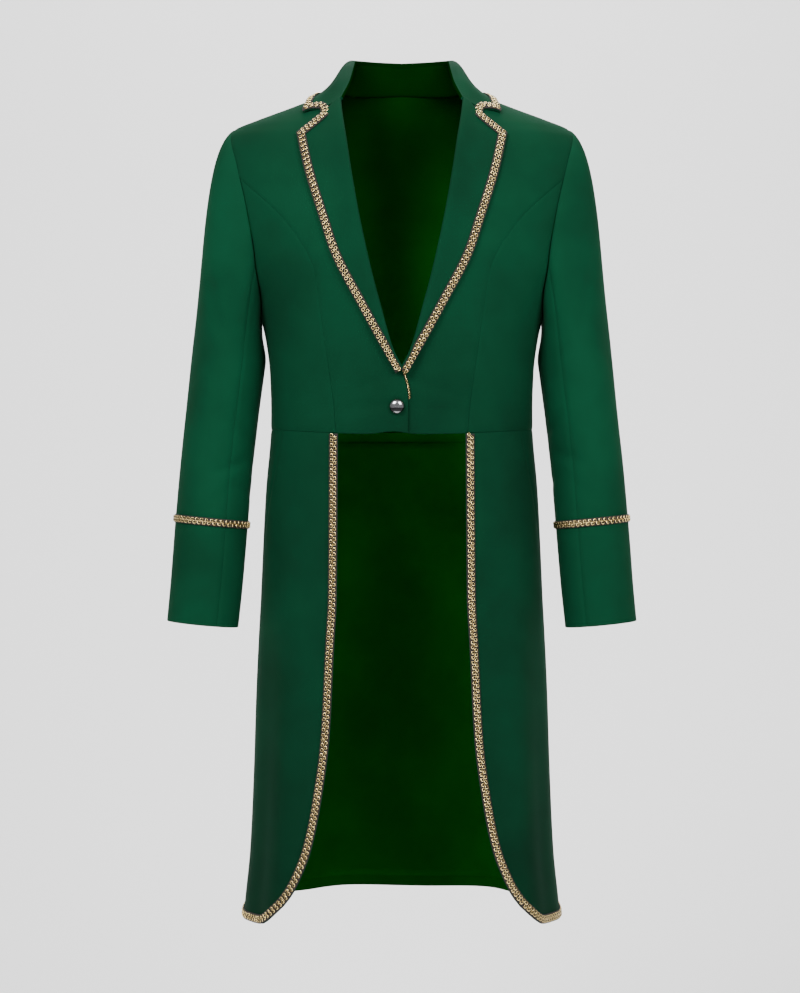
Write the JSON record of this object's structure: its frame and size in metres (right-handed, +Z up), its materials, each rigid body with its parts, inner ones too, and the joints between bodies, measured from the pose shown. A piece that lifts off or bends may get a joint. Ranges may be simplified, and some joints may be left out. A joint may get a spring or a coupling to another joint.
{
  "type": "tailcoat",
  "caption": "Filled-out tailcoat with notched collar, cut-away front skirts, ring-braid edging and one domed button.",
  "frame": {"origin": "middle of the neck opening, level with the neck ends of the shoulder seams, where the wearer's shoulders hold the coat", "axes": "+Z up, -Y the front, +X the wearer's left"},
  "size_m": [0.59, 0.3143, 1.0939],
  "materials": {
    "cloth": "smooth fine twill, soft sheen",
    "lining": "dark plain lining",
    "braid": "small bright rings on a dark tape",
    "button": "polished dome"
  },
  "bodies": {
    "root": {"front_right": "cloth", "front_left": "cloth", "side_right": "cloth", "side_left": "cloth", "back": "cloth", "lapel_right": "cloth", "lapel_left": "cloth", "collar_stand": "cloth", "collar_fall": "cloth", "sleeve_top_right": "cloth", "sleeve_top_left": "cloth", "sleeve_under_right": "cloth", "sleeve_under_left": "cloth", "skirt_front_right": "cloth", "skirt_front_left": "cloth", "skirt_back": "cloth", "lining_back": "lining", "lining_skirt": "lining", "trim_lapel_right": "braid", "trim_lapel_left": "braid", "trim_collar": "braid", "trim_skirt_right": "braid", "trim_skirt_left": "braid", "trim_hem_back": "braid", "trim_cuff_right": "braid", "trim_cuff_left": "braid", "button": "button"}
  },
  "joints": []
}
